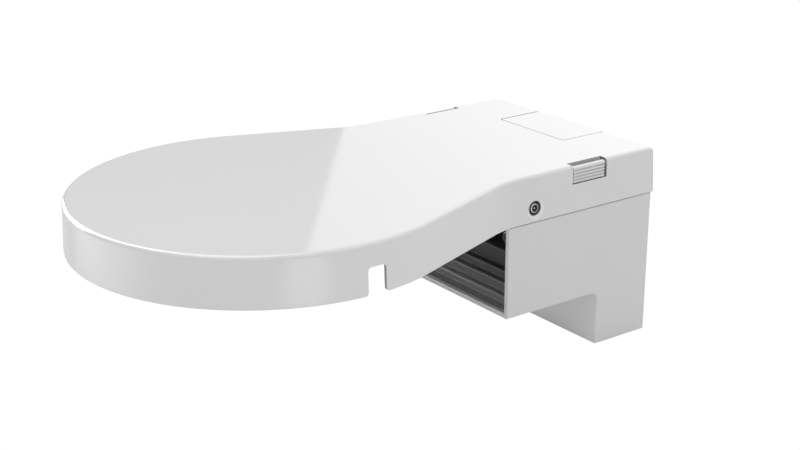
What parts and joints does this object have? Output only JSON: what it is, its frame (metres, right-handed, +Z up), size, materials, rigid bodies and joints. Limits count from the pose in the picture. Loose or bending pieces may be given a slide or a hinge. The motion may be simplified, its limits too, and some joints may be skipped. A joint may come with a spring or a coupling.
{
  "type": "electric bidet seat",
  "caption": "Electric bidet seat: full-length lid over a heated ring, narrow rear block with an open spray bay, telescopic wands and a rear leg with water and mains inlets.",
  "frame": {"origin": "centre of the two fixing holes, on the underside of the lower housing", "axes": "+Z up, -Y to the front of the seat, +X to the right seen from the front"},
  "size_m": [0.3892, 0.6242, 0.211],
  "materials": {
    "white_gloss": "gloss",
    "white_satin": "fine satin",
    "dark_plastic": "fine satin",
    "grey_plastic": "satin",
    "stainless": "brushed",
    "polished_steel": "polished",
    "black_steel": "black oxide",
    "brass": "turned",
    "rubber_white": "matt",
    "copper_foil": "foil",
    "board_green": "solder mask",
    "hose": "translucent",
    "filter": "pleated",
    "aluminium": "satin"
  },
  "bodies": {
    "housing": {"air_duct": "grey_plastic", "air_heater": "aluminium", "bay_fascia": "dark_plastic", "bay_panel": "dark_plastic", "bay_screws": "stainless", "boss_inserts": "black_steel", "cable_gland": "dark_plastic", "carbon_filter": "filter", "control_board": "board_green", "deck": "white_satin", "deck_screws": "stainless", "deodoriser_fan": "dark_plastic", "diverter": "dark_plastic", "fan_case": "grey_plastic", "fan_motor": "stainless", "feed_hose": "hose", "floor_plate": "stainless", "heater_hose": "hose", "hinge_bracket": "stainless", "inlet_fitting": "brass", "inlet_strainer": "stainless", "inlet_valve": "grey_plastic", "lid_dampers": "dark_plastic", "lower_housing": "white_satin", "power_supply": "grey_plastic", "pump_hose": "hose", "rear_cover": "white_satin", "rear_cover_screws": "stainless", "seat_dampers": "dark_plastic", "wand_guide": "dark_plastic", "wand_motors": "stainless", "water_heater": "white_satin", "water_pump": "grey_plastic"},
    "lid": {"lid_shell": "white_gloss", "lid_inner_panel": "white_satin", "hinge_arm_right": "stainless", "hinge_arm_left": "stainless", "lid_hinge_pins": "stainless", "side_screws": "polished_steel", "side_cup_washers": "polished_steel", "lid_bumpers": "rubber_white", "button_spring_right": "stainless", "button_spring_left": "stainless"},
    "cover": {"access_cover": "white_gloss"},
    "button_right": {"release_button_right": "white_satin"},
    "button_left": {"release_button_left": "white_satin"},
    "seat": {"seat_ring": "white_gloss", "seat_base": "white_satin", "seat_heater": "copper_foil", "seat_bumpers": "rubber_white", "seat_hinge_pins": "stainless"},
    "rear_sleeve": {"rear_wash_sleeve": "stainless"},
    "rear_wand": {"rear_wash_wand": "white_satin", "rear_wash_tip": "white_satin"},
    "front_sleeve": {"front_wash_sleeve": "stainless"},
    "front_wand": {"front_wash_wand": "white_satin", "front_wash_tip": "white_satin"},
    "dryer_door": {"dryer_door": "dark_plastic"},
    "impeller": {"fan_impeller": "grey_plastic"}
  },
  "joints": [
    {"name": "lid_lift", "type": "hinge", "parent": "housing", "child": "lid", "pos_m": [0, 0.132, 0.14], "axis": [-1, 0, 0], "range_deg": [0, 95]},
    {"name": "seat_lift", "type": "hinge", "parent": "housing", "child": "seat", "pos_m": [0, -0.047, 0.133], "axis": [-1, 0, 0], "range_deg": [0, 95]},
    {"name": "cover_lift_off", "type": "slide", "parent": "lid", "child": "cover", "axis": [0, 0, 1], "range_m": [0, 0.03]},
    {"name": "button_right_press", "type": "slide", "parent": "lid", "child": "button_right", "axis": [-1, 0, 0], "range_m": [0, 0.003], "stiffness_N_per_m": 900, "deforming": ["button_spring_right"]},
    {"name": "button_left_press", "type": "slide", "parent": "lid", "child": "button_left", "axis": [1, 0, 0], "range_m": [0, 0.003], "stiffness_N_per_m": 900, "deforming": ["button_spring_left"]},
    {"name": "rear_sleeve_slide", "type": "slide", "parent": "housing", "child": "rear_sleeve", "axis": [0, -0.9063, -0.4226], "range_m": [0, 0.06]},
    {"name": "rear_wand_slide", "type": "slide", "parent": "rear_sleeve", "child": "rear_wand", "axis": [0, -0.9063, -0.4226], "range_m": [0, 0.06]},
    {"name": "front_sleeve_slide", "type": "slide", "parent": "housing", "child": "front_sleeve", "axis": [0, -0.9063, -0.4226], "range_m": [0, 0.06]},
    {"name": "front_wand_slide", "type": "slide", "parent": "front_sleeve", "child": "front_wand", "axis": [0, -0.9063, -0.4226], "range_m": [0, 0.06]},
    {"name": "dryer_door_swing", "type": "hinge", "parent": "housing", "child": "dryer_door", "pos_m": [0.087, 0.0064, 0.0846], "axis": [-1, 0, 0], "range_deg": [0, 70]},
    {"name": "fan_spin", "type": "hinge", "parent": "housing", "child": "impeller", "pos_m": [0.08, 0.066, 0.048], "axis": [1, 0, 0], "continuous": true}
  ],
  "couplings": [
    {"joint": "seat_lift", "follows": "lid_lift", "ratio": 1},
    {"joint": "rear_wand_slide", "follows": "rear_sleeve_slide", "ratio": 1},
    {"joint": "front_wand_slide", "follows": "front_sleeve_slide", "ratio": 1}
  ]
}
